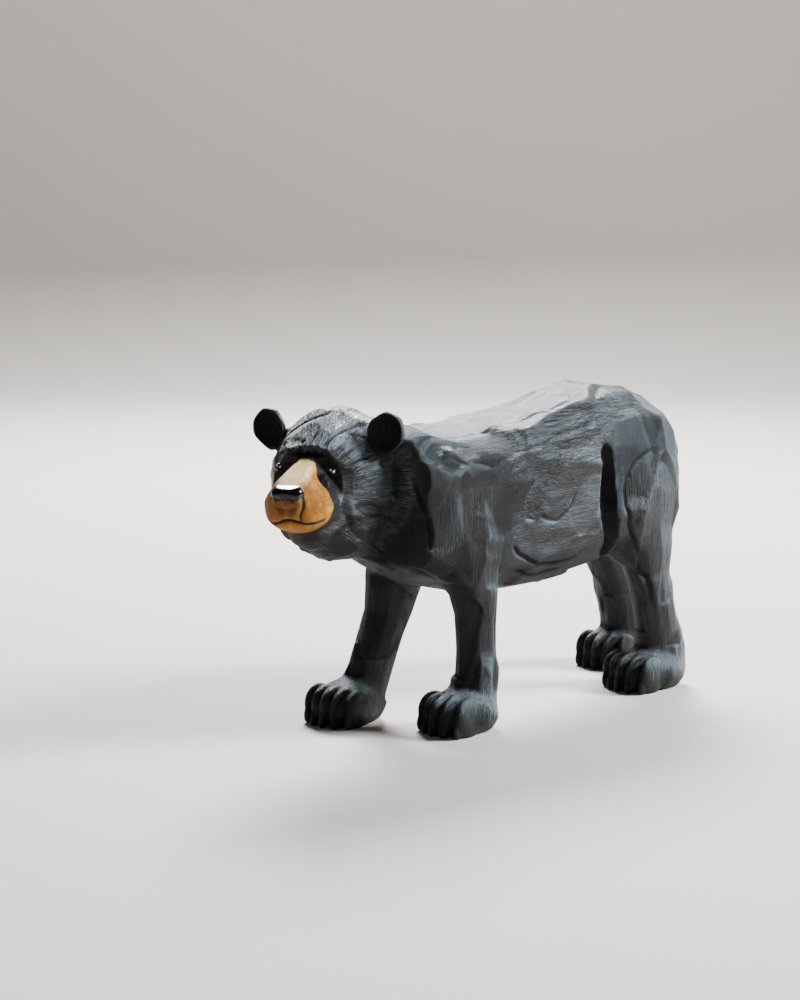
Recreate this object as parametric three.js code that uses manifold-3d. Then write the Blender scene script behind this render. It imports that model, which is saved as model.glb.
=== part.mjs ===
// A walking bear, carved as one block with hewn planes and painted black, about 255 mm from nose to heel.
// It stands on four flat soles. Millimetres, +Z up: the bear looks along -Y, and its own left side is at +X.
// The origin is in the middle of its outline, at the height of its soles.
import * as THREE from "three";
import { mergeVertices } from "three/addons/utils/BufferGeometryUtils.js";
import Module from "manifold-3d";

const wasm = await Module();
wasm.setup();

// ---------- driving dimensions ----------
const hipHeight = 139; // top of the rump, the highest point of the back
const bellyHeight = 52; // clear height under the belly
const bodyHalfWidth = 33; // at the hips
const chestY = -62; // front of the barrel, where the neck leaves it
const rumpY = 118; // back of the barrel
const headTurn = 30; // degrees, towards the bear's left
const headCentre = [-8, -85, 105]; // between the ears, at the height of the cheeks
const eyeSpacing = 24;
const eyeHeight = 7; // above the head's centre
const earSpacing = 46;
const earSize = 8; // half the width of an ear
const toeCount = 5;

// ---------- from geometry to solid and back ----------
function solidOf(geometry) {
  const bare = geometry.index ? geometry.clone() : mergeVertices(geometry);
  bare.deleteAttribute("normal");
  bare.deleteAttribute("uv");
  const merged = mergeVertices(bare, 1e-4);
  return new wasm.Manifold(
    new wasm.Mesh({
      numProp: 3,
      vertProperties: merged.attributes.position.array,
      triVerts: new Uint32Array(merged.index.array),
    }),
  );
}

function geometryOf(solid) {
  const mesh = solid.getMesh();
  const corners = new Float32Array(mesh.numVert * 3);
  for (let i = 0; i < mesh.numVert; i++)
    corners.set(mesh.vertProperties.subarray(i * mesh.numProp, i * mesh.numProp + 3), i * 3);
  return new THREE.BufferGeometry()
    .setAttribute("position", new THREE.BufferAttribute(corners, 3))
    .setIndex(new THREE.BufferAttribute(mesh.triVerts, 1));
}

const join = (solids) => solids.reduce((whole, next) => whole.add(next));

// The matrix that stretches, turns (three angles in degrees) and then moves.
function placing(at, turn, half = [1, 1, 1]) {
  const angles = turn.map(THREE.MathUtils.degToRad);
  return new THREE.Matrix4().compose(
    new THREE.Vector3(...at),
    new THREE.Quaternion().setFromEuler(new THREE.Euler(...angles)),
    new THREE.Vector3(...half),
  );
}

const place = (solid, at, turn) => solidOf(geometryOf(solid).applyMatrix4(placing(at, turn)));

// ---------- the carver's shapes ----------
// A rounded mass: a ball stretched to three half sizes, turned by three angles in degrees, and set in place.
function mass(at, half, turn = [0, 0, 0], rings = 10) {
  const ball = new THREE.SphereGeometry(1, rings + 2, rings).rotateX(Math.PI / 2);
  return solidOf(ball.applyMatrix4(placing(at, turn, half)));
}

// One number of each station, as a smooth function of the share t of the way along them.
function smoothly(stations, key) {
  const points = stations.map((s) => new THREE.Vector3(s[key], 0, 0));
  const curve = new THREE.CatmullRomCurve3(points, false, "catmullrom");
  return (t) => curve.getPoint(t).x;
}

// Upright sections lofted along Y. Each station has its y, the height of its top and bottom, its half
// width and its shift sideways, and the sections are a little squarer than ovals.
function lengthwise(stations, sides, rows, squareness = 0.16) {
  const forward = stations[0].y > stations[stations.length - 1].y ? 1 : -1;
  const [y, top, bottom, half] = ["y", "top", "bottom", "half"].map((key) => smoothly(stations, key));
  const tube = new THREE.CylinderGeometry(1, 1, 1, sides, rows);
  const corner = tube.attributes.position;
  for (let i = 0; i < corner.count; i++) {
    const t = 0.5 - corner.getY(i);
    const side = corner.getX(i);
    const up = corner.getZ(i) * forward;
    const fullness = 1 + squareness * (2 * side * up) ** 2;
    const middle = (top(t) + bottom(t)) / 2;
    const reach = (top(t) - bottom(t)) / 2;
    corner.setXYZ(i, side * fullness * half(t), y(t), middle + up * fullness * reach);
  }
  return solidOf(tube);
}

// Level sections lofted downwards, as for a leg. Each station has its centre and its half sizes across
// the bear and along it.
function downwards(stations, sides = 12, rows = 7) {
  const [x, y, z, across, along] = ["x", "y", "z", "across", "along"].map((key) => smoothly(stations, key));
  const column = new THREE.CylinderGeometry(1, 1, 1, sides, rows);
  const corner = column.attributes.position;
  for (let i = 0; i < corner.count; i++) {
    const t = 0.5 - corner.getY(i);
    corner.setXYZ(i, x(t) + corner.getX(i) * across(t), y(t) - corner.getZ(i) * along(t), z(t));
  }
  return solidOf(column);
}

// ---------- barrel ----------
const barrel = lengthwise(
  [
    { y: chestY - 22, top: 112, bottom: 84, half: 12 },
    { y: chestY - 12, top: 123, bottom: 72, half: 22 },
    { y: chestY + 4, top: 126.5, bottom: 62, half: 28 },
    { y: chestY + 24, top: 125.5, bottom: bellyHeight + 4, half: 30 },
    { y: chestY + 48, top: 126, bottom: bellyHeight + 1, half: 30.5 },
    { y: chestY + 72, top: 128.5, bottom: bellyHeight, half: 30.5 },
    { y: chestY + 96, top: 133.5, bottom: bellyHeight + 2, half: 31 },
    { y: chestY + 118, top: hipHeight - 1.5, bottom: bellyHeight + 5, half: bodyHalfWidth - 2 },
    { y: chestY + 136, top: hipHeight - 3, bottom: bellyHeight + 8, half: bodyHalfWidth - 3 },
    { y: chestY + 154, top: hipHeight - 13, bottom: bellyHeight + 11, half: bodyHalfWidth - 8 },
    { y: rumpY - 9, top: hipHeight - 28, bottom: bellyHeight + 17, half: bodyHalfWidth - 17 },
    { y: rumpY, top: hipHeight - 48, bottom: bellyHeight + 28, half: 6 },
  ],
  20,
  22,
);

// ---------- legs ----------
// Each leg is an upper mass, the shoulder or thigh, given by its middle and half sizes, then a column
// down to the ankle, and its own paw.
const legs = {
  frontLeft: {
    upper: [[18, -31, 81], [15, 21, 30]],
    stations: [
      { x: 18, y: -31, z: 88, across: 10, along: 15 },
      { x: 20, y: -31, z: 68, across: 12.5, along: 17 },
      { x: 20.5, y: -28.5, z: 50, across: 11, along: 13.5 },
      { x: 20, y: -27.5, z: 32, across: 10.5, along: 12.5 },
      { x: 20, y: -28, z: 18, across: 11, along: 13 },
      { x: 20, y: -32, z: 5, across: 11.5, along: 11.5 },
    ],
    paw: { x: 20.5, y: -35.5, length: 38, width: 26, turn: -4 },
  },
  frontRight: {
    upper: [[-18, -32, 81], [15, 21, 30]],
    stations: [
      { x: -18, y: -33, z: 88, across: 10, along: 15 },
      { x: -21, y: -33, z: 66, across: 12.5, along: 18 },
      { x: -22.5, y: -35.5, z: 48, across: 11, along: 15.5 },
      { x: -23, y: -42, z: 32, across: 10.5, along: 12.5 },
      { x: -23.5, y: -47, z: 18, across: 11, along: 12 },
      { x: -23.5, y: -52, z: 5, across: 11.5, along: 10.5 },
    ],
    paw: { x: -24.5, y: -57, length: 38, width: 27, turn: 6 },
  },
  hindLeft: {
    upper: [[16.5, 77, 88], [17, 28, 37]],
    stations: [
      { x: 17, y: 78, z: 92, across: 12, along: 19 },
      { x: 18.5, y: 79, z: 72, across: 14, along: 20.5 },
      { x: 19, y: 82, z: 54, across: 11.5, along: 15.5 },
      { x: 19, y: 86, z: 36, across: 10.5, along: 13.5 },
      { x: 19, y: 90, z: 20, across: 11, along: 14 },
      { x: 19, y: 91, z: 6, across: 11.5, along: 13 },
    ],
    paw: { x: 19, y: 84, length: 42, width: 27, turn: -6 },
  },
  hindRight: {
    upper: [[-16.5, 78, 88], [17, 28, 37]],
    stations: [
      { x: -17, y: 80, z: 92, across: 12, along: 19 },
      { x: -19, y: 86, z: 72, across: 14, along: 19 },
      { x: -20, y: 98, z: 54, across: 11.5, along: 14.5 },
      { x: -20.5, y: 108, z: 36, across: 10.5, along: 12 },
      { x: -21, y: 113, z: 20, across: 11, along: 12 },
      { x: -21.5, y: 115, z: 6, across: 11.5, along: 12.5 },
    ],
    paw: { x: -22, y: 109, length: 37, width: 27, turn: 4 },
  },
};

// A low rounded block, five toes in a fan along its front edge and a blunt claw on each toe.
function paw({ x, y, length, width, turn }) {
  const pieces = [mass([0, 1, 7], [width / 2, length / 2 - 3, 11])];
  const toeWidth = width / toeCount;
  for (let i = 0; i < toeCount; i++) {
    const share = i - (toeCount - 1) / 2; // -2 to 2, across the paw
    const side = share * toeWidth;
    const front = 9 - length / 2 + share * share;
    const fan = 6 * share;
    pieces.push(mass([side, front, 7.5], [toeWidth * 0.58, 7.5, 9], [16, 0, fan], 5));
    pieces.push(mass([side + 0.3 * share, front - 5.5, 6], [1.8, 3, 4.6], [-18, 0, fan], 4));
  }
  return place(join(pieces), [x, y, 0], [0, 0, turn]);
}

const everyLeg = Object.values(legs).map(({ upper, stations, paw: foot }) =>
  join([mass(...upper), downwards(stations), paw(foot)]),
);

// The deep groove that parts each thigh from the flank.
const thighGrooves = [-1, 1].map((side) => mass([side * 34, 43, 90], [7, 2.6, 24], [-6, 0, 0], 8));

// ---------- neck and head ----------
const neck = join([
  mass([-2, -52, 97], [27, 30, 30], [0, 0, 0], 10),
  mass([-5, -66, 101], [25, 24, 29], [0, 0, headTurn / 2], 12),
]);

function ear(side) {
  const shell = mass([0, 0, 0], [earSize, 4.2, earSize + 0.8], [0, 0, 0], 8);
  const cup = mass([0, -5, 0.6], [earSize - 2, 5.6, earSize - 1.4], [0, 0, 0], 8);
  return place(shell.subtract(cup), [(side * earSpacing) / 2, -1, 17], [-8, side * 20, side * 16]);
}

// The head is made looking along -Y about its own centre, then turned and set on the neck.
function head() {
  const skull = lengthwise(
    [
      { y: 26, top: 17, bottom: -20, half: 16 },
      { y: 14, top: 26, bottom: -26, half: 22.5 },
      { y: 2, top: 28.5, bottom: -28, half: 23.5 },
      { y: -9, top: 26, bottom: -26, half: 23 },
      { y: -18, top: 18, bottom: -22, half: 19 },
      { y: -24, top: 10, bottom: -14, half: 12 },
    ],
    18,
    10,
    0.02,
  );
  const muzzle = lengthwise(
    [
      { y: -10, top: 15, bottom: -19, half: 13 },
      { y: -22, top: 11, bottom: -19.5, half: 13.5 },
      { y: -32, top: 7.5, bottom: -18, half: 13 },
      { y: -41, top: 4.5, bottom: -15, half: 11.8 },
      { y: -47, top: 1.5, bottom: -11.5, half: 9 },
      { y: -50, top: -1.5, bottom: -7.5, half: 4.5 },
    ],
    16,
    10,
    0.2,
  );
  const nose = mass([0, -44, 0.5], [7.4, 5.8, 4.6], [-16, 0, 0], 8);
  const throat = mass([0, 4, -14], [19, 21, 17], [0, 0, 0], 10);
  const parts = [skull, muzzle, nose, throat];
  for (const side of [-1, 1]) {
    parts.push(mass([side * 13, 5, -7], [12, 18, 19], [0, 0, side * 14], 9)); // cheek and ruff
    parts.push(mass([side * 11.5, -17.5, 12.5], [9, 6, 4], [-30, side * 10, side * 28], 6)); // brow
    parts.push(mass([(side * eyeSpacing) / 2, -21, eyeHeight], [3.2, 3, 3.2], [0, 0, 0], 6)); // eye
    parts.push(ear(side));
  }
  return join(parts);
}

const wholeHead = place(head(), headCentre, [0, 0, headTurn]);

// ---------- the whole bear ----------
const rough = thighGrooves.reduce(
  (whole, groove) => whole.subtract(groove),
  join([barrel, neck, wholeHead, ...everyLeg]),
);
const ground = solidOf(new THREE.BoxGeometry(400, 400, 40).translate(0, 0, -20));
const geometry = geometryOf(rough.subtract(ground));
geometry.computeBoundingBox();
const middle = geometry.boundingBox.getCenter(new THREE.Vector3());

const paint = new THREE.MeshStandardMaterial({ color: 0x33383b, roughness: 0.55, metalness: 0 });
const bear = new THREE.Mesh(geometry, paint);
bear.name = "bear";
bear.position.set(-middle.x, -middle.y, -geometry.boundingBox.min.z);

const group = new THREE.Group();
group.add(bear);
export default group;
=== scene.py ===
import itertools
import math
import time

import bpy
import numpy as np
import openvdb
from mathutils import Matrix, Vector


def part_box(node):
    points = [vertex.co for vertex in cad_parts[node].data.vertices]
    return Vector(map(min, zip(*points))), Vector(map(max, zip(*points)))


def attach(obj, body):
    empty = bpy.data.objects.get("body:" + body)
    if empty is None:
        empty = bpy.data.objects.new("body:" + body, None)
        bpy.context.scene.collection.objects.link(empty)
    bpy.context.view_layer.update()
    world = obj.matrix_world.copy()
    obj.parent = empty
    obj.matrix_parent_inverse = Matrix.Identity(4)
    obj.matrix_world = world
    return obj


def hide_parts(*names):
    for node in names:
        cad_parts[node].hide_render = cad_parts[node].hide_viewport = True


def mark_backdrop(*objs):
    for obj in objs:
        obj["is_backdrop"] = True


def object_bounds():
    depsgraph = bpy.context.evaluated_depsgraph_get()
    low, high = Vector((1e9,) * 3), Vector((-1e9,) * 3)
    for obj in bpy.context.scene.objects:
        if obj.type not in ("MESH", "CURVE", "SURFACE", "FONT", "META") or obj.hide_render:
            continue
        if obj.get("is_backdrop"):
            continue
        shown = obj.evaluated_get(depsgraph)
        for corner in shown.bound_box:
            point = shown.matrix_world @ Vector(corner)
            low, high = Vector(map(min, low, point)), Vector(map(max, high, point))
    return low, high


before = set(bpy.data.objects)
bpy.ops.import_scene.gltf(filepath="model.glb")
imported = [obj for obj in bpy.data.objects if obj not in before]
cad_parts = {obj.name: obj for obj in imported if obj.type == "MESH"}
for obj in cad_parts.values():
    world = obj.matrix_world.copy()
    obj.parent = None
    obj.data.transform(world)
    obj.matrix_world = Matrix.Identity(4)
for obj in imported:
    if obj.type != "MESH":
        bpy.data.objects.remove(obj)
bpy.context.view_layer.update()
startTime = time.time()
mm = 0.001


def report(stage):
    print(f"{time.time() - startTime:6.1f} s  {stage}")


# Places on the bear are in its own millimetres: x to its left, y backwards from the middle, z up from
# the soles. fit takes them to the frame's size.
bear = {"node": "bear", "body": "root", "slot": "painted_carving", "length": 258.15}
bearLow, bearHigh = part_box(bear["node"])
fit = (bearHigh.y - bearLow.y) / bear["length"]  # metres to a millimetre of the bear


def turnMatrix(turn):  # three angles in degrees, about x, y and z in that order
    spin = Matrix.Identity(3)
    for angle, axis in zip(turn, "XYZ"):
        spin = Matrix.Rotation(math.radians(angle), 3, axis) @ spin
    return np.array(spin)


def unit(vector):
    vector = np.asarray(vector, float)
    return vector / np.linalg.norm(vector)


class Place:  # a place with its own directions, within another place
    def __init__(self, at, turn=(0, 0, 0), parent=None):
        self.at = np.array(at, float)
        self.spin = turnMatrix(turn)
        if parent:
            self.at = parent.point(*at)
            self.spin = parent.spin @ self.spin

    def point(self, x, y, z):
        return self.at + self.spin @ np.array([x, y, z], float)

    def direction(self, x, y, z):
        return self.spin @ np.array([x, y, z], float)

    def inside(self, points):  # places of the bear, as seen from here
        return (points - self.at) @ self.spin


wholePlace = Place((0, 0, 0))
chance = np.random.default_rng(11)
facetWidth = 7  # millimetres: wider strokes leave a facet with its own tone
neighbours = list(itertools.product((-1, 0, 1), repeat=3))


# ---------- the block that is carved ----------
class Block:  # signed distances on a grid, in millimetres: below zero is wood
    def __init__(self, node, step, band):
        corners, triangles = arraysOf(node.data)
        corners = corners / fit
        margin = 6
        self.step = step
        self.band = band
        self.spacing = openvdb.createLinearTransform(step)
        self.first = np.floor(corners.min(0) / step).astype(int) - margin
        size = np.ceil(corners.max(0) / step).astype(int) + margin - self.first
        self.field = np.empty(tuple(int(n) for n in size), np.float32)
        self.field = self.distancesTo(corners, triangles)
        self.cutBy = np.zeros(self.field.shape, np.int16)  # which facet was cut last, for its tone
        self.facets = 0

    def window(self, at, reach):  # the grid within reach of a place, and where its points are from there
        lowest = np.floor((np.asarray(at) - reach) / self.step).astype(int) - self.first
        highest = np.ceil((np.asarray(at) + reach) / self.step).astype(int) - self.first + 1
        lowest = np.clip(lowest, 0, self.field.shape)
        highest = np.clip(highest, 0, self.field.shape)
        cut = tuple(slice(a, b) for a, b in zip(lowest, highest))
        x, y, z = (
            ((np.arange(a, b) + f) * self.step - c).astype(np.float32)
            for a, b, f, c in zip(lowest, highest, self.first, at)
        )
        return cut, (x[:, None, None], y[None, :, None], z[None, None, :])

    def soften(self, passes):  # rounds edges by averaging neighbours
        self.field = softened(self.field, passes)

    def within(self, place, reach):  # the same, with the points in the place's own directions
        cut, offset = self.window(place.at, reach)
        return cut, [sum(place.spin[i, j] * offset[i] for i in range(3)) for j in range(3)]

    def distanceToBall(self, place, at, half, turn, margin):
        cut, local = self.within(Place(at, turn, place), max(half) + margin)
        return cut, ballDistance(*local, *half)

    def mass(self, place, at, half, turn=(0, 0, 0), blend=3.0):  # adds a rounded mass
        cut, distance = self.distanceToBall(place, at, half, turn, 2 * blend + 2)
        self.field[cut] = -smoothMax(-self.field[cut], -distance, blend)

    def hollow(self, place, at, half, turn=(0, 0, 0), blend=1.0):  # cuts a rounded hollow
        cut, distance = self.distanceToBall(place, at, half, turn, 2 * blend + 2)
        self.field[cut] = smoothMax(self.field[cut], -distance, blend)

    def plane(self, place, at, normal, reach, blend=0.6):  # cuts flat what is outside, within reach
        centre = place.point(*at)
        n = place.direction(*unit(normal))
        cut, (x, y, z) = self.window(centre, reach)
        rise = n[0] * x + n[1] * y + n[2] * z
        inReach = x * x + y * y + z * z < reach * reach
        self.field[cut] = np.where(inReach, smoothMax(self.field[cut], rise, blend), self.field[cut])

    def stroke(self, at, normal, along, length, width, depth, dish=1.0, limit=2.5):
        # one stroke of the blade: a scoop if dish is 1, flat if it is 0; a wide one leaves a facet
        facet = width > facetWidth
        n = unit(normal)
        a = unit(np.asarray(along) - n * np.dot(along, n))
        c = np.cross(n, a)
        cut, (x, y, z) = self.window(at, max(length, width) * (0.8 if facet else 0.6) + 1)
        rise = n[0] * x + n[1] * y + n[2] * z
        run = ((a[0] * x + a[1] * y + a[2] * z) * (2 / length)) ** 2
        side = ((c[0] * x + c[1] * y + c[2] * z) * (2 / width)) ** 2
        spread = run + side
        wood = self.field[cut]
        carved = rise + depth * (1 - dish * spread)
        carved = np.minimum(carved, self.rough[cut] + limit * depth)  # never far below the rough shape
        fade = np.clip((2.6 - spread) / 0.8, 0, 1) if facet else spread < 1.7
        carved = wood + (carved - wood) * fade
        if facet:
            self.facets += 1
            self.cutBy[cut][carved > wood] = self.facets
        self.field[cut] = np.maximum(wood, carved)

    def groove(self, points, width, depth):  # a wedge cut along a line, tapered at both ends
        count = len(points) - 1
        for i in range(count):
            p, q = points[i], points[i + 1]
            share = (i + 0.5) / count
            taper = min(1.0, 5 * share + 0.1, 5 * (1 - share) + 0.1)
            half = max(np.linalg.norm(q - p) / 2, 0.01)
            d = (q - p) / (2 * half)
            cut, (x, y, z) = self.window((p + q) / 2, half + depth + width)
            along = np.clip(d[0] * x + d[1] * y + d[2] * z, -half, half)
            gap = np.sqrt((x - along * d[0]) ** 2 + (y - along * d[1]) ** 2 + (z - along * d[2]) ** 2)
            carved = np.minimum(width * taper / 2 - gap * 0.7, depth * taper - gap)
            self.field[cut] = np.maximum(self.field[cut], carved)

    def sample(self, points, field=None):
        field = self.field if field is None else field
        place = points / self.step - self.first
        base = np.clip(np.floor(place).astype(int), 0, np.array(field.shape) - 2)
        share = place - base
        total = 0
        for corner in range(8):
            o = np.array([corner & 1, corner >> 1 & 1, corner >> 2 & 1])
            weight = np.prod(np.where(o, share, 1 - share), axis=1)
            i, j, k = (base + o).T
            total = total + weight * field[i, j, k]
        return total

    def deepAt(self, points, passes):  # how deep in a hollow, from a blurred block on a coarser grid
        coarse = softened(np.ascontiguousarray(self.field[::2, ::2, ::2]), passes)
        return self.sample((points + self.first * self.step) / 2, coarse)

    def slope(self, points, field=None):
        steps = np.eye(3) * self.step
        rise = np.stack([self.sample(points + s, field) - self.sample(points - s, field) for s in steps], 1)
        return rise / (np.linalg.norm(rise, axis=1, keepdims=True) + 1e-9)

    def meet(self, place, x, z, start=-56.0, end=-20.0):  # where a line from the front first meets wood
        ys = np.arange(start, end, 0.1)
        line = np.array([place.point(x, y, z) for y in ys])
        wood = np.nonzero(self.sample(line) < 0)[0]
        return line[wood[0]] if len(wood) else line[-1]

    def onSurface(self, points):  # moves places to the nearest wood, and says which way it faces
        points = np.atleast_2d(np.array(points, float))
        for _ in range(5):
            points = points - self.slope(points) * self.sample(points)[:, None]
        return points, self.slope(points)

    def surface(self, every=1):
        grid = openvdb.FloatGrid(self.band)
        grid.transform = openvdb.createLinearTransform(self.step * every)
        grid.copyFromArray(np.ascontiguousarray(self.field[::every, ::every, ::every]))
        found = grid.convertToPolygons(isovalue=0.0)
        return found[0] + self.first * self.step, found[-1][:, ::-1]

    def facet(self, count, unevenness):  # cuts the whole block to flat facets, each a little off true
        mesh = thinned(meshOf("facets", *self.surface(3)), count)
        corners, triangles = arraysOf(mesh)
        _, slopes = self.onSurface(corners)
        corners = corners + slopes * chance.normal(0, unevenness, (len(corners), 1))
        self.field = self.distancesTo(corners.astype(np.float32), triangles)

    def distancesTo(self, corners, triangles):
        grid = openvdb.FloatGrid.createLevelSetFromPolygons(
            corners, triangles=triangles, transform=self.spacing, halfWidth=self.band / self.step
        )
        field = np.empty(self.field.shape, np.float32)
        grid.copyToArray(field, ijk=tuple(int(i) for i in self.first))
        return field


def meshOf(name, corners, faces):
    mesh = bpy.data.meshes.new(name)
    mesh.vertices.add(len(corners))
    mesh.vertices.foreach_set("co", np.asarray(corners, np.float32).ravel())
    mesh.loops.add(faces.size)
    mesh.loops.foreach_set("vertex_index", np.asarray(faces, np.int32).ravel())
    mesh.polygons.add(len(faces))
    mesh.polygons.foreach_set("loop_start", np.arange(0, faces.size, faces.shape[1], dtype=np.int32))
    mesh.update(calc_edges=True)
    return mesh


def thinned(mesh, count):  # the same shape with fewer triangles
    holder = bpy.data.objects.new(mesh.name, mesh)
    bpy.context.scene.collection.objects.link(holder)
    thin = holder.modifiers.new("thin", "DECIMATE")
    thin.ratio = count / (2 * len(mesh.polygons))
    graph = bpy.context.evaluated_depsgraph_get()
    result = bpy.data.meshes.new_from_object(holder.evaluated_get(graph))
    bpy.data.objects.remove(holder)
    return result


def arraysOf(mesh):
    corners = np.empty(len(mesh.vertices) * 3, np.float32)
    mesh.vertices.foreach_get("co", corners)
    mesh.calc_loop_triangles()
    triangles = np.empty(len(mesh.loop_triangles) * 3, np.int32)
    mesh.loop_triangles.foreach_get("vertices", triangles)
    return corners.reshape(-1, 3), triangles.reshape(-1, 3)


def softened(field, passes):
    field = field.copy()
    for _ in range(passes):
        for axis in range(3):
            a = np.moveaxis(field, axis, 0)
            a[1:-1] = (a[:-2] + 2 * a[1:-1] + a[2:]) * 0.25
    return field


def ballDistance(x, y, z, a, b, c):  # about how far outside a ball with three half sizes
    near = np.sqrt((x / a) ** 2 + (y / b) ** 2 + (z / c) ** 2)
    slope = np.sqrt((x / a**2) ** 2 + (y / b**2) ** 2 + (z / c**2) ** 2) + 1e-6
    return near * (near - 1) / slope


def smoothMax(a, b, blend):
    h = np.clip(0.5 + 0.5 * (a - b) / blend, 0, 1)
    return b * (1 - h) + a * h + blend * h * (1 - h)


def curveThrough(points, pieces):  # a smooth line through a few places
    points = np.array(points, float)
    padded = np.vstack([2 * points[0] - points[1], points, 2 * points[-1] - points[-2]])
    line = []
    for i in range(len(points) - 1):
        a, b, c, d = padded[i : i + 4]
        for t in np.arange(pieces) / pieces:
            bend = 2 * a - 5 * b + 4 * c - d
            twist = 3 * b - a - 3 * c + d
            line.append(0.5 * (2 * b + (c - a) * t + bend * t**2 + twist * t**3))
    return np.array(line + [points[-1]])


blank = {"step": 0.5, "band": 5.0, "softPasses": 6, "facets": 2600, "unevenness": 0.1, "worn": 2}
block = Block(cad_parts[bear["node"]], blank["step"], blank["band"])
block.soften(blank["softPasses"])
report("block roughed out")


# ---------- head ----------
head = {
    "at": (-5.75, -83.43, 105),
    "turn": 30,
    "midline": -1.3,
    "eyes": ((10.2, -20.8, 6.8), (-11.9, -20.6, 7.8)),
    "eyeRadius": 1.7,
    "tufts": (
        (-12, 12, 16, -1),
        (-8, 13, 17, 0.5),
        (-4, 13, 18.5, 0.5),
        (-1, 13, 21, 2),
        (2, 12.5, 17, 1),
        (5, 12, 17, 2),
        (8.5, 12, 16, 3),
        (12, 11.5, 14.5, 3),
    ),
    "creases": (
        ((-17, 15), (-12, 20), (-4, 25), (6, 28.5)),
        ((4, 15), (8, 19.5), (13, 22.5), (18, 23)),
        ((14, 8), (17, 10), (21, 11)),
    ),
    "earLeft": {"at": (25, -1, 20), "turn": (-4, 8, 2), "half": (7.6, 3.6, 8.8)},
    "earRight": {"at": (-23.6, -1, 20.6), "turn": (-4, -10, 4), "half": (6.6, 3.6, 8.6)},
}
headPlace = Place(head["at"], (0, 0, head["turn"]))
facePlace = Place((head["midline"], 0, 0), (0, 0, 0), headPlace)


def roughHead():
    # the roughed-out head comes off in front of the neck, and a finer one goes on
    cut, (x, y, z) = block.window(headPlace.at, 62)
    forward = headPlace.direction(0, -1, 0)
    ahead = forward[0] * x + forward[1] * y + forward[2] * z
    off = np.minimum(ahead + 4, z + 38)
    block.field[cut] = np.maximum(block.field[cut], np.minimum(off, block.band))
    block.mass(headPlace, (0, 3, 3), (21.6, 23, 24), (0, 0, 0), 4)
    block.mass(headPlace, (3, 11, 7), (19.5, 19, 22.3), (0, 0, 0), 4)
    block.mass(headPlace, (5, 30, 8), (18, 22, 14), (0, 0, 0), 6)
    block.mass(headPlace, (0, 4, -15), (18.5, 22, 16), (0, 0, 0), 4)
    block.mass(headPlace, (0, -14, -14), (12, 14, 11), (28, 0, 0), 4)
    block.mass(headPlace, (4, 5, -24.5), (16, 18, 10.5), (0, 0, 0), 4)
    block.mass(headPlace, (13, 5, -7), (11.5, 19, 19), (0, 0, 14), 5)
    block.mass(headPlace, (-11, 5, -7), (10.5, 17, 18), (0, 0, -14), 5)
    for side in (-1, 1):
        block.mass(facePlace, (side * 9.5, -13.5, 10.5), (9.5, 6.5, 4.4), (-34, side * 10, side * 26), 4)
    block.mass(facePlace, (0, -15.5, 10), (8, 6, 5), (-30, 0, 0), 4)
    block.mass(headPlace, (-14.5, -8, 2), (8, 9.5, 12), (0, 0, 0), 3)
    # forehead, temples and cheeks are cut flat
    block.plane(headPlace, (0, -8, 22.5), (0, -0.52, 1), 17, 1.5)
    block.plane(headPlace, (15, -6, 15), (0.75, -0.45, 0.6), 13, 1.0)
    block.plane(headPlace, (-15.5, -7, 17), (-0.75, -0.45, 0.6), 12, 1.0)
    block.plane(headPlace, (20, -6, -1), (1, -0.55, 0.02), 15, 1.0)
    block.plane(headPlace, (-21.5, -8, -1), (-1, -0.4, 0.02), 14, 1.0)


def carveMuzzle():
    block.mass(facePlace, (0, -25, -2.7), (14.5, 23.5, 13.6), (4, 0, 0), 2.5)
    block.mass(facePlace, (0, -32, -8.0), (11.8, 14, 6.7), (4, 0, 0), 2)
    block.plane(facePlace, (0, -33, 7.9), (0, -0.3, 1), 17, 0.4)
    for side in (-1, 1):
        block.plane(facePlace, (side * 8.4, -33, 2.4), (side * 0.83, -0.06, 0.56), 17, 0.8)
        block.plane(facePlace, (side * 12.9, -34, -6), (side, -0.12, 0.0), 12, 1.5)
    block.plane(facePlace, (0, -47.2, -6), (0, -1, -0.12), 13, 3)
    block.plane(facePlace, (0, -40, -15), (0, -0.55, -1), 14, 1.5)


def mouthHeight(x):  # the lip line rises in the middle and falls at both sides
    return -10.1 + np.cos(0.449 * (x - 0.8))


def lipX(z):  # the line from the nose down to the mouth
    return 5.9 + 0.75 * np.cos(0.55 * (z + 2.8))


def carveNose():
    block.mass(facePlace, (0, -44.8, 0.4), (6.9, 5.2, 5), (-8, 0, 0), 0.8)
    block.plane(facePlace, (0, -46, 3.9), (0, -0.3, 1), 8, 0.2)
    block.plane(facePlace, (0, -49.3, 0), (0, -1, -0.35), 7, 0.5)
    for side in (-1, 1):
        block.plane(facePlace, (side * 5.9, -48.6, 1), (side, -0.15, -0.35), 3.4, 0.6)
        block.hollow(facePlace, (side * 3.3, -49.6, -0.9), (1.5, 1.8, 1.1), (0, side * 24, 0), 0.4)
    # wrinkles below the nose, the line up from the mouth, and the mouth
    lines = [
        ([(-5, -3.6), (-2, -5), (2, -5.3), (5.2, -3.4)], 0.9, 0.5),
        ([(-3.5, -5.8), (0, -6.8), (3.6, -6)], 0.8, 0.4),
        ([(lipX(z), z) for z in np.linspace(-0.5, -10.4, 6)], 1.2, 0.7),
        ([(x, mouthHeight(x)) for x in np.linspace(-9.5, 12.6, 12)], 1.4, 0.9),
    ]
    for line, width, depth in lines:
        path = [block.meet(facePlace, x, z) for x, z in curveThrough(line, 5)]
        block.groove(np.array(path), width, depth)


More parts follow.
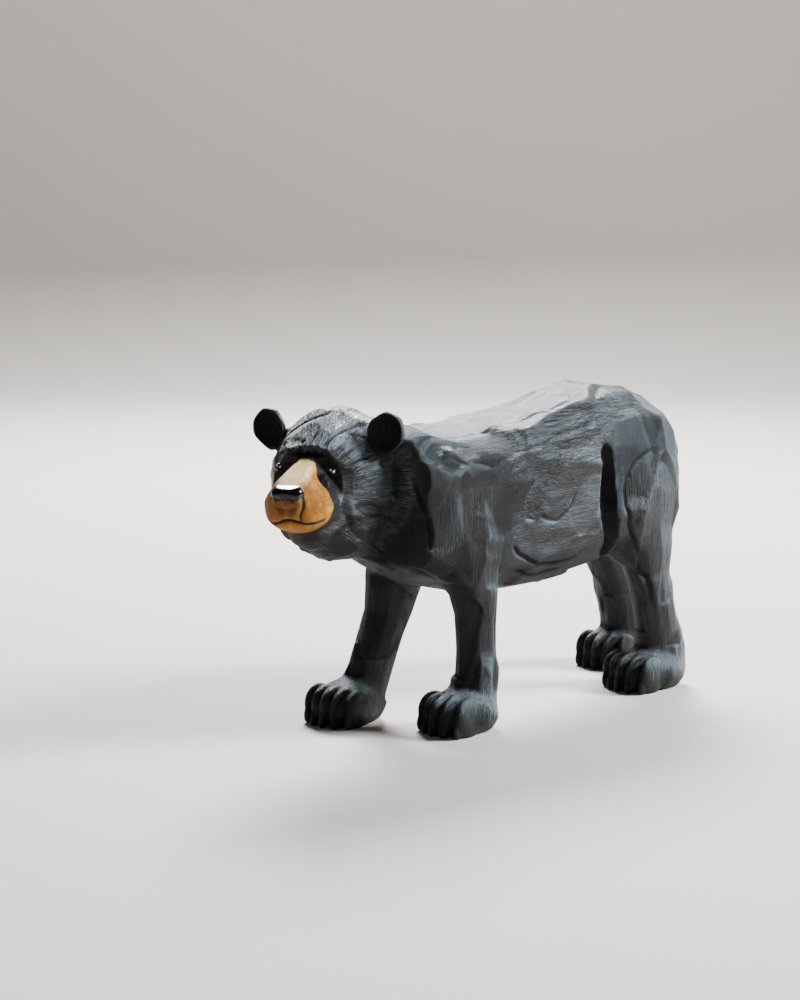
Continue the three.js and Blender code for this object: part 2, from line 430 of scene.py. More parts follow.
def carveEyes():
    r = head["eyeRadius"]
    for side, (x, y, z) in zip((1, -1), head["eyes"]):
        block.hollow(facePlace, (x, y - 3.2, z - 0.4), (4.8, 4.4, 3.3), (10, 0, side * 14), 1.2)
        block.hollow(facePlace, (x - side * 2.4, y - 3.4, z - 3), (1.7, 3.0, 3.2), (0, 0, 0), 2.4)
        block.mass(facePlace, (x, y + 0.3, z), (r, r, r), (0, 0, 0), 0.3)


def carveBrow():  # tufts cut up from the brow into the forehead, and creases over the forehead
    for x, foot, top, lean in head["tufts"]:
        line = [(x + lean * t, foot + (top - foot) * t) for t in np.linspace(0, 1, 4)]
        path = [block.meet(facePlace, u, v, -40, 30) for u, v in curveThrough(line, 4)]
        block.groove(np.array(path), 1.1, 0.7)
    for crease in head["creases"]:
        path = [block.meet(facePlace, u, v, -40, 30) for u, v in curveThrough(crease, 5)]
        block.groove(np.array(path), 1.2, 0.9)


def carveEar(ear):  # a cup cut to a rough round, made apart and set on the head
    place = Place(ear["at"], ear["turn"], headPlace)
    a, b, c = ear["half"]
    inwards = -math.copysign(1, ear["at"][0])
    block.mass(place, (inwards * 4.5, 4.5, -6), (a * 0.8, 4, 5), (0, 0, 0), 2)
    cut, (x, y, z) = block.within(place, max(a, c) + 3)
    cup = ballDistance(x, y - 1.2, z, a * 1.04, b, c * 1.04)
    for angle, reach in ((15, 0.95), (-40, 0.95), (72, 0.96), (126, 0.88), (-128, 0.86)):
        side, rise = math.sin(math.radians(angle)), math.cos(math.radians(angle))
        cup = smoothMax(cup, side * x + rise * z - reach * math.hypot(a * side, c * rise), 0.6)
    cup = smoothMax(cup, -1.2 - y, 0.3)
    cup = smoothMax(cup, -ballDistance(x, y + 2.4, z - 0.2, a - 0.8, 3.6, c - 0.9), 0.3)
    block.field[cut] = -smoothMax(-block.field[cut], -cup, 0.5)
    return place


swellings = {  # place, half sizes, turn: muscles, and the wood left standing between cuts
    "chisel": ((27.5, 9, 93), (7.5, 15, 9), (0, 0, 0)),
    "shoulder": ((26.5, -45, 97), (7.5, 9, 24), (0, 0, 0)),
    "thigh": ((28, 70, 90), (8, 12, 28), (0, 0, 0)),
    "neck": ((-2, -54, 112), (17, 20, 15.5), (0, 0, 0)),
    "neckFill": ((13, -63, 98), (16, 14, 23), (0, 0, 0)),
}
dips = {  # place, half sizes, turn
    "bellySide": ((42, 12, 71), (11, 34, 9), (0, 0, 0)),
    "behindShoulder": ((41, -22, 84), (9, 7, 20), (0, 0, 0)),
    "neckSide": ((34, -66, 96), (7.5, 5, 20), (0, 0, 0)),
}


def shapeBody():
    for side in (1, -1):  # the right side is like the left
        for at, half, turn in swellings.values():
            block.mass(wholePlace, (side * at[0], at[1], at[2]), half, turn, 2.5)
        for at, half, turn in dips.values():
            block.hollow(wholePlace, (side * at[0], at[1], at[2]), half, turn, 2.5)


shapeBody()
roughHead()
report("body and head roughed out")
block.facet(blank["facets"], blank["unevenness"])
block.soften(blank["worn"])
block.rough = block.field.copy()  # the strokes never cut far below this
report("facets")

# ---------- hewn planes ----------
upwards = (0, 0, 1)
planes = {  # place, direction of the stroke, length, width, depth, how hollow, tilt towards
    "flankHigh": ((30, -2, 115), (0, 1, 0.3), 66, 22, 1.2, 0.2, (0, 0, 0.05)),
    "flankMid": ((33, 4, 98), (0, 1, 0.25), 44, 20, 0.9, 0.2, (0, 0, 0)),
    "hipHigh": ((22, 50, 131), (0, 1, -0.1), 40, 20, 1.0, 0.2, (0, 0, 0)),
    "hipSide": ((30, 60, 119), (0, 1, -0.5), 34, 18, 1.0, 0.2, (0, 0, 0)),
    "thighFront": ((35, 64, 92), upwards, 54, 13, 1.3, 0.4, (0, -0.15, 0)),
    "thighBack": ((31, 88, 92), (0, 0.2, 1), 50, 16, 1.3, 0.4, (0, 0.1, 0)),
    "thighLow": ((32, 80, 66), upwards, 34, 13, 1.0, 0.4, (0, 0, 0)),
}


def hewPlanes():
    for at, along, length, width, depth, dish, tilt in planes.values():
        for side in (1, -1):  # the right side is hewn like the left
            point, slope = block.onSurface([(at[0] * side, at[1], at[2])])
            normal = slope[0] + np.array([tilt[0] * side, tilt[1], tilt[2]])
            block.stroke(point[0], normal, along, length, width, depth, dish)


hewPlanes()
report("hewn planes")

# ---------- small strokes all over ----------
points, _ = block.surface(2)


def between(values, start, end):  # 0 at start, 1 at end
    share = np.clip((values - start) / (end - start), 0, 1)
    return share * share * (3 - 2 * share)


def regions(p):  # shares of the upright grain of the legs, and of the head
    legs = between(p[:, 2], 70, 56)
    side = between(np.abs(p[:, 0]), 15, 22)
    thigh = between(np.abs(p[:, 1] - 78), 34, 22) * between(p[:, 2], 122, 102) * side
    shoulder = between(np.abs(p[:, 1] + 38), 26, 16) * between(p[:, 2], 116, 100) * side
    away = np.linalg.norm(p - headPlace.at, axis=1)
    heads = between(away, 46, 36) * between(p[:, 2], 64, 72)
    return np.maximum(legs, np.maximum(thigh, shoulder)), heads


def wayOfGrain(p):  # which way the wood was cut
    upright, heads = regions(p)
    radial = p - facePlace.point(0, -34, 2)
    radial = radial / (np.linalg.norm(radial, axis=1, keepdims=True) + 1e-6)
    lengthways = np.array([0, 1, 0.2]) * np.ones((len(p), 1))
    way = lengthways * (1 - upright[:, None]) + np.array([0, 0.1, 1]) * upright[:, None]
    return way * (1 - heads[:, None]) + radial * heads[:, None]


def strokes(where, spacing, length, width, depth, dish, tilt, limit=1.3):  # all over, at one spacing
    candidates = points[where]
    taken = []
    cells = {}
    for p in candidates[chance.permutation(len(candidates))[:60000]]:
        cell = tuple((p // spacing).astype(int))
        near = [cells.get((cell[0] + i, cell[1] + j, cell[2] + k)) for i, j, k in neighbours]
        if any(q is not None and ((q - p) ** 2).sum() < spacing**2 for q in near):
            continue
        cells[cell] = p
        taken.append(p)
    taken, slopes = block.onSurface(taken)
    for p, slope, way in zip(taken, slopes, wayOfGrain(taken)):
        size = chance.uniform(0.75, 1.3)
        normal = slope + chance.normal(0, tilt, 3)
        wide = width * chance.uniform(0.8, 1.25)
        block.stroke(p, normal, way, length * size, wide, depth * size, dish, limit)
    return len(taken)


height = points[:, 2]
fromNeck = headPlace.inside(points)
away = np.linalg.norm(fromNeck, axis=1)
_, fromHead, headUp = fromNeck.T
onBody = (away > 44) & (height > 56)
onLegs = (height <= 70) & (height > 22)
onRuff = (away < 50) & (fromHead > -13) & (headUp < 14) & (height > 66)
onRuff &= (fromHead > 11) | (headUp < -14)
onFace = (away < 40) & (fromHead < 14) & (headUp > -14) & (fromHead > -16)
blades = {  # where, spacing, length, width, depth, how hollow, unevenness, most depth
    "bodyFacets": (onBody, 14, 36, 22, 1.7, 0.75, 0.17, 1.4),
    "legFacets": (onLegs & (height > 32), 10, 40, 14, 0.9, 0.8, 0.11, 1.5),
    "faceFacets": (onFace, 11, 24, 15, 0.6, 0.8, 0.1, 1.6),
    "bodyGouge": (onBody, 8, 24, 3.6, 0.3, 1.0, 0.02),
    "bodyScratch": (onBody, 5, 16, 1.8, 0.25, 1.0, 0.02),
    "legScratch": (onLegs, 5, 20, 2.2, 0.3, 1.0, 0.02),
    "ruffChips": (onRuff, 7, 14, 9, 1.1, 0.7, 0.26, 2.0),
    "ruffScratch": (onRuff, 3.0, 8, 1.5, 0.4, 1.0, 0.06, 4.0),
}
counts = {name: strokes(*blade) for name, blade in blades.items()}
report(f"strokes {counts}")

# ---------- cracks and folds ----------
cracks = {  # line, width, depth
    "neckToHip": (
        [(25.5, -59, 118), (29.5, -46, 115), (31, -27, 111), (30, -2, 115.5)]
        + [(28, 18, 120.5), (29, 32, 124), (24, 52, 129)],
        1.1,
        1.0,
    ),
    "thigh": (
        [(31, 84, 108), (33, 66, 105), (33.5, 57, 96), (32.5, 57, 79)]
        + [(29.5, 66, 62), (29, 76, 46), (29.6, 81.5, 29)],
        1.5,
        1.5,
    ),
    "bellyFold": ([(30, -14, 78), (31, -6, 70), (29, 8, 64), (29, 24, 64), (30, 38, 72)], 1.6, 1.2),
    "bellyLow": ([(27, -10, 64), (26, 6, 59), (27, 24, 60)], 1.3, 1.0),
    "chisel": ([(33, -12, 88), (34, 0, 85), (34, 12, 83), (33.5, 22, 88), (33, 27, 97)], 1.2, 0.9),
    "bandEdge": (
        [(20, -56, 124), (19, -30, 124.5), (18.5, 0, 127.5), (18, 24, 133), (16, 44, 137)],
        1.0,
        0.8,
    ),
    "shoulderFront": ([(22, -66, 110), (25, -62, 98), (27, -58, 86), (26, -56, 74)], 1.6, 1.4),
    "parting": (
        [(31, 44.5, 112), (30.5, 45, 106), (29.5, 46, 96), (28.5, 47.5, 82), (26, 51, 68), (22, 54, 58)],
        6,
        7,
    ),
}


def cutCracks():
    for line, width, depth in cracks.values():
        path = curveThrough(line, 8)
        wander = np.cumsum(chance.normal(0, 0.22, (len(path), 3)), axis=0)
        path = path + wander - np.linspace(0, 1, len(path))[:, None] * wander[-1]
        for side in (1, -1):
            onWood, _ = block.onSurface(path * [side, 1, 1])
            block.groove(onWood, width, depth)


cutCracks()
report("cracks and folds")

# ---------- paws ----------
paws = {
    "frontLeft": {"at": (22.75, -33.93), "length": 38, "width": 26, "turn": -4},
    "frontRight": {"at": (-22.25, -55.93), "length": 38, "width": 26, "turn": 6},
    "hindLeft": {"at": (21.25, 85.57), "length": 42, "width": 27, "turn": -6},
    "hindRight": {"at": (-19.75, 110.57), "length": 37, "width": 27, "turn": 4},
}


def carvePaw(paw):
    place = Place((*paw["at"], 0), (0, 0, paw["turn"]))
    length, width = paw["length"], paw["width"]
    block.mass(place, (0, -1, 8), (width * 0.48, length * 0.42, 10), (0, 0, 0), 3)
    toe = width / 5
    for i in range(-2, 3):
        front = 9.0 - length / 2 + i * i * 0.9
        block.mass(place, (i * toe, front, 7.4), (toe * 0.55, 7.6, 8.6), (14, 0, 6 * i), 0.5)
        block.mass(place, (i * toe * 1.03, front - 5.4, 4.2), (1.7, 3.2, 5.0), (-18, 0, 6 * i), 0.4)
    for i in (-1.5, -0.5, 0.5, 1.5):  # deep partings between the toes
        line = [(i * toe * 1.02, back - length / 2, z) for back, z in ((2, 1), (3, 10), (12, 17))]
        path, _ = block.onSurface([place.point(*p) for p in curveThrough(line, 6)])
        block.groove(path, 1.6, 1.6)


for paw in paws.values():
    carvePaw(paw)
report("paws")

carveMuzzle()
carveBrow()
carveNose()
carveEyes()
earPlaces = [carveEar(head[name]) for name in ("earLeft", "earRight")]
block.soften(1)
heights = (np.arange(block.field.shape[2]) + block.first[2]) * block.step
block.field = np.maximum(block.field, -heights[None, None, :].astype(np.float32))  # the soles stay flat
report("face and ears")

# ---------- from the block to a mesh ----------
fine = {"triangles": 190000, "hollowPasses": 8, "deepPasses": 24}
points, quads = block.surface()
mesh = thinned(meshOf("carvedBear", points * fit, quads), fine["triangles"])
mesh.shade_smooth()
piece = bpy.data.objects.new("carvedBear", mesh)
bpy.context.scene.collection.objects.link(piece)
corners, triangles = arraysOf(mesh)
corners = corners / fit
report(f"mesh of {len(triangles)} triangles")


def store(name, values, kind="FLOAT"):
    layer = mesh.attributes.new(name, kind, "POINT")
    field = "vector" if kind == "FLOAT_VECTOR" else "value"
    layer.data.foreach_set(field, np.asarray(values, np.float32).ravel())


def grainOf(p):  # the wood's own places, short along the cut, so that what varies there runs in streaks
    upright, heads = regions(p)
    upright, heads = upright[:, None], heads[:, None]
    seen = facePlace.inside(p)
    around = np.arctan2(seen[:, 0], seen[:, 2] + 3)
    reach = np.hypot(seen[:, 0], seen[:, 2] + 3)
    onHead = np.stack([np.cos(around) * 17, np.sin(around) * 17, seen[:, 1] * 0.08 + reach * 0.06], 1)
    grain = p * [1, 0.07, 1] * (1 - upright) + p * [1, 1, 0.07] * upright
    return grain * (1 - heads) + onHead * heads


store("grain", grainOf(corners), "FLOAT_VECTOR")
softer = softened(block.field, fine["hollowPasses"])
store("crest", np.clip(block.sample(corners, softer) / 0.5, -1, 1))
_, onHead = regions(corners)
fromFace = facePlace.inside(corners)
neck = between(fromFace[:, 1], 6, 14) * between(np.linalg.norm(fromFace, axis=1), 64, 52)
# deep: painted shade in hollows, from the blurred block, with less of it on the neck
store("deep", between(block.deepAt(corners, fine["deepPasses"]), -0.6, -2.6) * (1 - 0.75 * neck))


def awayFromMiddle(slopes):  # how much a slope faces out to its own side
    return np.abs(slopes[:, 0]) * (slopes[:, 0] * corners[:, 0] > 0)


broad = block.slope(corners, softer)  # which way the wood faces, without its small cuts
# painted light and shade: paler paint where the wood faces up, outwards and back towards the lamps, darker
# where it faces down and forwards
facing = between(broad[:, 2] * 0.8 + awayFromMiddle(broad) * 0.45 + broad[:, 1] * 0.4, -0.25, 0.7)
# the neck, shaded between head and shoulder, gets painted light
facing = np.maximum(facing, neck * 0.8 * between(broad[:, 0] + broad[:, 2], 0.1, 0.8))
# the head gets painted light where it faces up
store("facing", np.maximum(facing, onHead * between(broad[:, 2], -0.5, 0.3)))
narrow = block.slope(corners, softened(block.field, 2))
# lit: a painted highlight on facets that face up, outwards and back towards the lamps
lit = between(narrow[:, 2] * 1.1 + awayFromMiddle(narrow) * 0.45 + narrow[:, 1] * 0.45, 0.1, 1.0)
i, j, k = np.round(corners / block.step - block.first).astype(int).T
facetTones = chance.uniform(0, 1, block.facets + 1)
# a facet's tone is partly its own random tone and partly painted light from lit
tone = np.clip(lit * 0.75 + facetTones[block.cutBy[i, j, k]] * 0.6 - 0.2, 0, 1)
# the head gets painted light as well
store("tone", np.maximum(tone, onHead * (0.45 + 0.3 * lit)))
# top: where the painted sheen goes on up-facing wood, and where the nose takes its coat
store("top", between(narrow[:, 2], 0.55, 0.97))
report("grain, crests and tones")


# ---------- shader maths ----------
class Signal:  # a node's output, with sums and products written as they are
    def __init__(self, tree, socket):
        self.tree = tree
        self.socket = socket

    def node(self, kind, settings=None, outputs=0, **values):
        made = self.tree.nodes.new(kind)
        for key, value in (settings or {}).items():
            setattr(made, key, value)
        for key, value in values.items():
            socket = made.inputs[int(key[1:])] if key[0] == "_" else made.inputs[key.replace("_", " ")]
            if isinstance(value, Signal):
                self.tree.links.new(value.socket, socket)
            else:
                socket.default_value = value
        return Signal(self.tree, made.outputs[outputs])

    def maths(self, what, *values):
        sockets = {f"_{i}": value for i, value in enumerate(values)}
        return self.node("ShaderNodeMath", {"operation": what}, **sockets)

    def __add__(self, other):
        return self.maths("ADD", self, other)

    def __radd__(self, other):
        return self.maths("ADD", other, self)

    def __sub__(self, other):
        return self.maths("SUBTRACT", self, other)

    def __rsub__(self, other):
        return self.maths("SUBTRACT", other, self)

    def __mul__(self, other):
        return self.maths("MULTIPLY", self, other)

    def __rmul__(self, other):
        return self.maths("MULTIPLY", other, self)

    def __truediv__(self, other):
        return self.maths("DIVIDE", self, other)

    def __rtruediv__(self, other):
        return self.maths("DIVIDE", other, self)

    def __pow__(self, other):
        return self.maths("POWER", self, other)

    def __neg__(self):
        return self.maths("MULTIPLY", self, -1.0)

    def cosine(self):
        return self.maths("COSINE", self)

    def size(self):
        return self.maths("ABSOLUTE", self)

    def least(self, other):
        return self.maths("MINIMUM", self, other)

    def most(self, other):
        return self.maths("MAXIMUM", self, other)

    def rise(self, start, end):  # 0 at start, 1 at end
        settings = {"interpolation_type": "SMOOTHSTEP"}
        values = {"Value": self, "From_Min": start, "From_Max": end, "To_Min": 0.0, "To_Max": 1.0}
        if start > end:
            values.update({"From_Min": end, "From_Max": start, "To_Min": 1.0, "To_Max": 0.0})
        return self.node("ShaderNodeMapRange", settings, **values)

    def seenFrom(self, place):  # the same place in another's directions
        dot = {"operation": "DOT_PRODUCT"}
        along = [(tuple(axis), float(place.at @ axis)) for axis in place.spin.T]
        return [self.node("ShaderNodeVectorMath", dot, 1, _0=self, _1=axis) - start for axis, start in along]

    def scaled(self, *sizes):
        return self.node("ShaderNodeVectorMath", {"operation": "MULTIPLY"}, _0=self, _1=sizes)

    def vector(self, x, y, z):
        return self.node("ShaderNodeCombineXYZ", None, X=x, Y=y, Z=z)

    def noise(self, scale, detail=3.0, rough=0.5, twist=0.0):
        values = {"Vector": self, "Scale": scale, "Detail": detail, "Roughness": rough, "Distortion": twist}
        return self.node("ShaderNodeTexNoise", None, 0, **values)

    def blend(self, first, second, share):
        settings = {"data_type": "RGBA", "clamp_factor": True}
        return self.node("ShaderNodeMix", settings, 2, _0=share, _6=first, _7=second)

    def towards(self, other, share):  # a colour mixed towards another by a share
        return self.blend(self, other, share)


def linear(c):
    return ((c / 255 + 0.055) / 1.055) ** 2.4 if c > 10 else c / 255 / 12.92


def colour(r, g, b):  # from the usual 0 to 255
    return (linear(r), linear(g), linear(b), 1.0)


def newMaterial(name):
    material = bpy.data.materials.new(name)
    material.use_nodes = True
    tree = material.node_tree
    tree.nodes.clear()
    start = Signal(tree, None)
    return material, tree, start


paint = {
    "black": colour(9, 9, 10),
    # near-black, for painted shade in hollows and for the dark cut lines
    "deep": colour(7, 7, 8),
    "body": colour(11, 15, 18),
    # dry-brushed paint; also the painted highlight on facets that face the lamps
    "dryBrushAndPaintedLight": colour(98, 114, 124),
    "rust": colour(74, 52, 38),
    "cream": colour(232, 186, 92),
    "tan": colour(178, 112, 16),
    # painted shade, low on the muzzle's right side and under the chin
    "paintedShadeAmber": colour(120, 62, 8),
    "brown": colour(82, 42, 14),
    "line": colour(24, 16, 12),
    "gloss": colour(6, 6, 7),
    # painted sheen on the up-facing tops
    "pale": colour(108, 122, 132),
    "glint": colour(235, 238, 240),
    "roughness": 0.38,
}


faceMarks = {  # millimetres from facePlace: wide to either side, up, and forward
    "muzzleBack": 26.5,
    "muzzleTop": 15,
    "patch": {"wide": 11, "up": 6, "halfWide": 7.4, "halfUp": 8.6},
    "browUp": 12.6,
    "browWide": 15,
    "underUp": -9.5,
    "noseWide": 6.6,
    "noseFront": 45.2,
    "lipsFront": 33,
}


class Wood:  # what the paints ask about a place on the carving
    def __init__(self, start):
        self.start = start
        metres = start.node("ShaderNodeTexCoord", None, 3)
        self.place = metres.scaled(1 / fit, 1 / fit, 1 / fit)
        self.grain = self.stored("grain", 1)
        self.facing = self.stored("facing")
        self.tone = self.stored("tone")
        self.top = self.stored("top")
        self.deep = self.stored("deep")
        crest = self.stored("crest")
        self.ridge = crest.rise(0.0, 0.7)
        self.hollow = crest.rise(-0.05, -0.5)
        self.left, self.back, self.up = self.place.seenFrom(facePlace)
        self.wide = self.left.size()
        self.front = -self.back
        self.wobble = start.vector(self.left, self.back, self.up).noise(0.35, 3.0, 0.6) - 0.5
        # streaks of the blade and the brush
        self.streak = self.grain.noise(0.5, 5.0, 0.66, 0.3)
        self.fineStreak = self.grain.noise(2.2, 4.0, 0.65, 0.2)
        self.cuts = (self.grain.noise(0.4, 3.0, 0.6, 0.8) - 0.5).size().rise(0.0, 0.03)
        self.speck = self.place.noise(0.9, 2.0, 0.6)

    def stored(self, name, outputs=2):
        return self.start.node("ShaderNodeAttribute", {"attribute_name": name}, outputs)

    def stretched(self, left, back, up):  # places on the face, drawn out along one way
        return self.start.vector(self.left * left, self.back * back, self.up * up)


def bodyColour(wood):  # blue-black with dry-brushed streaks; painted highlight and sheen where the facets face up and towards the lamps, painted shade underneath and in hollows
    # dry-brushed streaks and edges, kept out of hollows and shown only where the wood faces the lamps:
    # partly paint, partly a painted highlight
    dryBrushAndPaintedLight = wood.streak.rise(0.46, 0.7) * 0.3 + wood.fineStreak.rise(0.48, 0.62) * 0.7
    dryBrushAndPaintedLight = dryBrushAndPaintedLight * wood.place.noise(0.05, 3.0, 0.5).rise(0.3, 0.6) * (1 - wood.hollow)
    dryBrushAndPaintedLight = dryBrushAndPaintedLight + wood.ridge * wood.speck.rise(0.3, 0.6) * 0.5
    dryBrushAndPaintedLight = (dryBrushAndPaintedLight * wood.facing * (1 - wood.deep)).least(1.0)
    # the facet's tone, cubed, adds a painted highlight on facets that face the lamps
    dryBrushAndPaintedLight = (dryBrushAndPaintedLight * (0.1 + wood.tone * 0.8) + wood.tone**3 * wood.facing * 1.1).least(1.0)
    # painted sheen on the up-facing tops, laid in the brush streaks
    pale = wood.top * (0.05 + wood.fineStreak.rise(0.42, 0.62) * 0.5)
    rust = wood.ridge * wood.place.noise(0.12, 2.0, 0.6).rise(0.56, 0.7) * wood.speck.rise(0.45, 0.6)
    # painted shade: black where the wood faces down and forwards, blue-black where it faces up and outwards
    body = wood.start.blend(paint["black"], paint["body"], wood.facing * 0.8 + 0.2)
    body = body.towards(paint["dryBrushAndPaintedLight"], dryBrushAndPaintedLight)
    body = body.towards(paint["pale"], pale * wood.facing)
    body = body.towards(paint["deep"], (1 - wood.cuts) * 0.55 * wood.facing)
    # painted shade in cut hollows and crevices
    body = body.towards(paint["deep"], (wood.hollow * 0.7 + wood.deep).least(1.0))
    return body.towards(paint["rust"], rust * 0.6)


def muzzleEdge(wood):  # how far forward the tan paint begins
    low = (3 - wood.up).most(0.0) * 0.25
    high = (wood.up - 4).most(0.0) * (6 - wood.wide).rise(-2.0, 2.0) * 0.7
    return faceMarks["muzzleBack"] + wood.wobble * 4 + low - high


def muzzleColour(wood):  # cream on top, partly paint and partly a painted highlight; tan at the sides, with painted shade in amber low on the right side and under the chin; scratched along its length
    left, up, front = wood.left, wood.up, wood.front
    brushed = wood.stretched(1.0, 0.12, 1.0).noise(1.3, 4.0, 0.65)
    scratch = (wood.stretched(0.3, 0.12, 1.0).noise(1.6, 2.0, 0.5, 0.4) - 0.5).size().rise(0.02, 0.0)
    # painted shade low on the bear's right side of the muzzle, away from the key lamp
    paintedShadeLowSide = (left + 5).rise(6.0, -6.0) * (up + 2).rise(2.0, -6.0) * 0.7
    # painted shade under the chin
    paintedShadeChin = (up + 13).rise(2.0, -2.0) * 0.4
    belowNose = (front - 40 - wood.wobble * 6).rise(0.0, 6.0) * (up + 3).rise(5.0, -1.0)
    # the cream top, where the muzzle faces up: partly paint, partly a painted highlight
    onTop = (up - (17.6 - front * 0.285) + wood.wobble * 2).rise(-2.6, -1.0)
    tan = wood.start.blend(paint["tan"], paint["cream"], onTop)
    tan = tan.towards(paint["brown"], brushed.rise(0.53, 0.7) * 0.5)
    tan = tan.towards(paint["cream"], wood.place.noise(0.16, 3.0, 0.6).rise(0.5, 0.68) * 0.4)
    tan = tan.towards(paint["paintedShadeAmber"], (paintedShadeLowSide + paintedShadeChin).least(0.8))
    tan = tan.towards(paint["line"], scratch * brushed.rise(0.38, 0.55) * 0.85)
    tan = tan.towards(paint["brown"], belowNose * 0.45)
    # painted shade in the cut grooves
    return tan.towards(paint["line"], wood.hollow * 0.9)


def blackShare(wood, edge, muzzle):  # black over the eyes, on the brow and beside the muzzle, and black under the jaw as painted shade
    wide, up, front, patch = wood.wide, wood.up, wood.front, faceMarks["patch"]
    tufts = wood.stretched(1.2, 0.2, 0.22).noise(1.0, 3.0, 0.6) - 0.5
    ragged = wood.wobble * 7 + tufts * 26
    eyes = ((wide - patch["wide"]) / patch["halfWide"]) ** 2 + ((up - patch["up"]) / patch["halfUp"]) ** 2
    eyes = (eyes + ragged * 0.1).rise(1.35, 0.85)
    brow = (up - faceMarks["browUp"] + (ragged * 0.9).least(3.4).most(-3.6)).rise(1.2, -1.2)
    brow = brow * (up - 5).rise(-2.0, 2.0) * (wide - faceMarks["browWide"] + ragged).rise(2.0, -2.0)
    beside = (front - edge + 6.0 + ragged * 0.4).rise(-1.0, 1.0)
    beside = beside * (up - 13).rise(1.0, -1.0) * (up + 9).rise(-4.0, 2.0)
    # painted shade: black under the jaw
    paintedJawShade = (up - faceMarks["underUp"] + wood.wobble * 9 + (front - 20).most(0.0) * 0.2).rise(3.0, -3.0)
    paintedJawShade = paintedJawShade * (front + 16).rise(0.0, 10.0) * (up + 40).rise(0.0, 8.0) * 0.9
    front = (front - 9).rise(-2.0, 3.0)
    return (eyes.most(brow).most(beside) * front).most(paintedJawShade) * (1 - muzzle)


def noseShares(wood):  # the black nose, and the brown wrinkles below it
    wide, up, front, wobble = wood.wide, wood.up, wood.front, wood.wobble
    below = (wide - 5.6 - (up + 1) * 0.4).rise(0.8, -0.8) * (up + 7.6 + wobble * 4).rise(-1.2, 1.0)
    below = below * (front - 43).rise(0.0, 1.5)
    wrinkles = wood.stretched(1.0, 1.0, 0.3).noise(1.1, 3.0, 0.6).rise(0.42, 0.6)
    nose = (wide - faceMarks["noseWide"] - up * 0.12).rise(0.5, -0.2)
    nose = nose * (front - faceMarks["noseFront"]).rise(-0.6, 0.3) * (up + 1.2 + wobble * 3).rise(-0.6, 0.8)
    return nose, below * (0.5 + wrinkles * 0.5)


def eyeShares(wood):  # the two balls, each with two spots of light painted on
    ball, glint = [], []
    r = head["eyeRadius"]
    for x, y, z in head["eyes"]:
        left, back, up = wood.left - x, wood.back - y, wood.up - z
        ball.append((left**2 + back**2 + up**2).rise((r + 0.7) ** 2, (r + 0.3) ** 2))
        spots = ((left + 0.2) ** 2 + (up - 0.8) ** 2).rise(0.3, 0.12)
        spots = spots.most(((left - 1.0) ** 2 + (up - 0.2) ** 2).rise(0.16, 0.05))
        glint.append(spots * (1.0 - back).rise(-0.5, 0.5))
    eye = ball[0].most(ball[1])
    return eye, glint[0].most(glint[1]) * eye


def earShare(wood, ear, half):
    x, y, z = wood.place.seenFrom(ear)
    a, _, c = half
    return ((x / (a - 0.6)) ** 2 + (z / (c - 0.6)) ** 2).rise(1.0, 0.9) * y.rise(1.8, 1.2)


def lipShare(wood):  # the same two lines as mouthHeight and lipX
    left, up = wood.left, wood.up
    mouth = (up - (left * 0.449 - 0.36).cosine() + 10.1).size().rise(0.75, 0.35)
    split = (left - ((up + 2.8) * 0.55).cosine() * 0.75 - 5.9).size().rise(0.6, 0.3)
    split = split * (up + 10.3).rise(-0.3, 0.3) * (up + 0.5).rise(0.5, -0.5)
    front = (wood.front - faceMarks["lipsFront"]).rise(0.0, 2.0)
    return (mouth * front).most(split) * front * (0.6 + wood.speck * 0.6)


def paintBear():
    material, tree, start = newMaterial("paintedWood")
    wood = Wood(start)
    edge = muzzleEdge(wood)
    muzzle = (wood.front - edge).rise(-0.5, 0.7) * (wood.up - faceMarks["muzzleTop"]).rise(1.0, -1.0)
    nose, below = noseShares(wood)
    eye, glint = eyeShares(wood)
    ears = [earShare(wood, ear, head[name]["half"]) for ear, name in zip(earPlaces, ("earLeft", "earRight"))]
    dull = ears[0].most(ears[1])
    shiny = nose.most(eye)
    face = bodyColour(wood).towards(muzzleColour(wood), muzzle)
    face = face.towards(paint["black"], blackShare(wood, edge, muzzle) * 0.92)
    face = face.towards(paint["brown"], below).towards(paint["gloss"], nose)
    face = face.towards(paint["gloss"], eye).towards(paint["glint"], glint)
    face = face.towards(paint["black"], dull).towards(paint["line"], lipShare(wood) * muzzle)
    rough = paint["roughness"] + (1 - wood.facing) * 0.2 + (wood.fineStreak - 0.5) * 0.25
    rough = rough + wood.hollow * 0.2 + muzzle * 0.12 + dull * 0.4
    rough = (rough * (1 - shiny) + shiny * 0.14).most(0.08)
    # fine ridges of the brush and the blade
    ridges = (wood.grain.noise(1.1, 2.0, 0.5, 0.4) - 0.5).size().rise(0.0, 0.08)
    height = wood.streak * 0.35 + wood.fineStreak * 0.5 + ridges * 0.2 + wood.cuts * 0.3
    height = (height + wood.grain.noise(4.0, 2.0, 0.5) * 0.06) * (1 - shiny) * (1 - muzzle * 0.6)
    bump = start.node("ShaderNodeBump", None, 0, Strength=0.85, Distance=1.2 * mm, Height=height)
    fixed = {"Specular_IOR_Level": 0.3, "Coat_Roughness": 0.08}
    varied = {"Base_Color": face, "Roughness": rough, "Coat_Weight": nose * wood.top, "Normal": bump}
    shader = start.node("ShaderNodeBsdfPrincipled", None, 0, **fixed, **varied)
    end = tree.nodes.new("ShaderNodeOutputMaterial")
    tree.links.new(shader.socket, end.inputs[0])
    return material


piece.data.materials.clear()
piece.data.materials.append(paintBear())
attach(piece, bear["body"])
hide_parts(bear["node"])
report("painted")

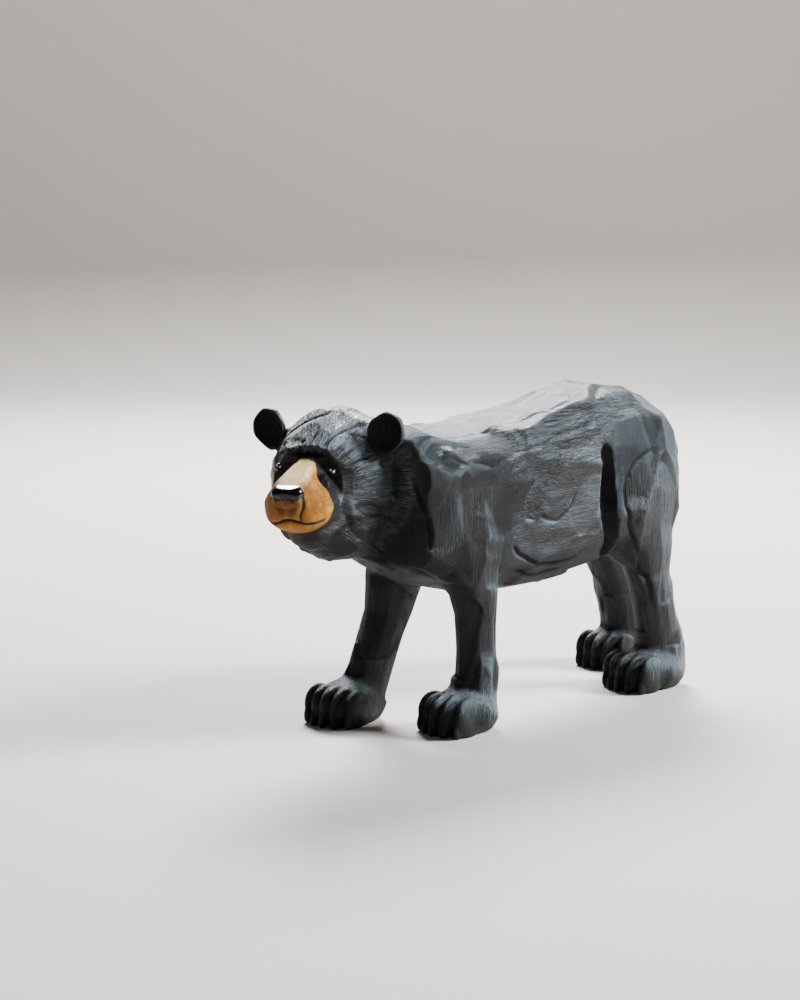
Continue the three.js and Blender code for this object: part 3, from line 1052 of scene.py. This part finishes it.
# ---------- floor, light and camera ----------
viewer = {"at": (722.19, -752.56, 239.0), "heading": 45.7, "pitch": 8.15, "lens": 90}
studio = {
    "floor": colour(232, 226, 220),
    "world": colour(222, 222, 224),
    "worldStrength": 0.12,
    "key": {"at": (0.75, 0.85, 0.75), "size": 0.45, "power": 42},
    "above": {"at": (-0.75, 0.65, 0.9), "size": 0.5, "power": 42},
    "sweep": {"front": 2.5, "back": 1.3, "bend": 0.6, "top": 3.0, "width": 6.0},
}


def layFloor():  # a pale floor that turns up into a wall behind the bear
    sweep = studio["sweep"]
    profile = [(-sweep["front"], 0.0), (sweep["back"], 0.0)]
    for angle in np.radians(np.arange(5, 90, 5)):
        across, rise = math.sin(angle), 1 - math.cos(angle)
        profile.append((sweep["back"] + sweep["bend"] * across, sweep["bend"] * rise))
    profile.append((sweep["back"] + sweep["bend"], sweep["top"]))
    away = Matrix.Rotation(math.radians(viewer["heading"]), 3, "Z")
    corners = [away @ Vector((x * sweep["width"] / 2, y, z)) for y, z in profile for x in (-1, 1)]
    faces = [(i, i + 1, i + 3, i + 2) for i in range(0, len(corners) - 2, 2)]
    mesh = bpy.data.meshes.new("floor")
    mesh.from_pydata(corners, [], faces)
    mesh.shade_smooth()
    floor = bpy.data.objects.new("floor", mesh)
    bpy.context.scene.collection.objects.link(floor)
    material, tree, start = newMaterial("floor")
    shader = start.node("ShaderNodeBsdfPrincipled", None, 0, Base_Color=studio["floor"], Roughness=0.75)
    end = tree.nodes.new("ShaderNodeOutputMaterial")
    tree.links.new(shader.socket, end.inputs[0])
    floor.data.materials.append(material)
    return floor


def addLamp(name, at, size, power):
    lamp = bpy.data.lights.new(name, "AREA")
    lamp.shape = "DISK"
    lamp.size = size
    lamp.energy = power
    holder = bpy.data.objects.new(name, lamp)
    bpy.context.scene.collection.objects.link(holder)
    holder.location = at
    aim = Vector((0, 0, 0.07)) - Vector(at)
    holder.rotation_euler = aim.to_track_quat("-Z", "Y").to_euler()
    return holder


lamps = [addLamp(name, **studio[name]) for name in ("key", "above")]
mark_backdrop(layFloor(), *lamps)
world = bpy.data.worlds.new("pale")
world.use_nodes = True
world.node_tree.nodes["Background"].inputs[0].default_value = studio["world"]
world.node_tree.nodes["Background"].inputs[1].default_value = studio["worldStrength"]
bpy.context.scene.world = world

lens = bpy.data.cameras.new("camera")
lens.lens = viewer["lens"]
lens.sensor_width = 36
camera = bpy.data.objects.new("camera", lens)
bpy.context.scene.collection.objects.link(camera)
camera.location = Vector(viewer["at"]) * fit
camera.rotation_euler = (math.radians(90 - viewer["pitch"]), 0, math.radians(viewer["heading"]))
bpy.context.scene.camera = camera

builtLow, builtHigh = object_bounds()
report(f"visual {[round(v * 1000, 1) for v in (*builtLow, *builtHigh)]}")
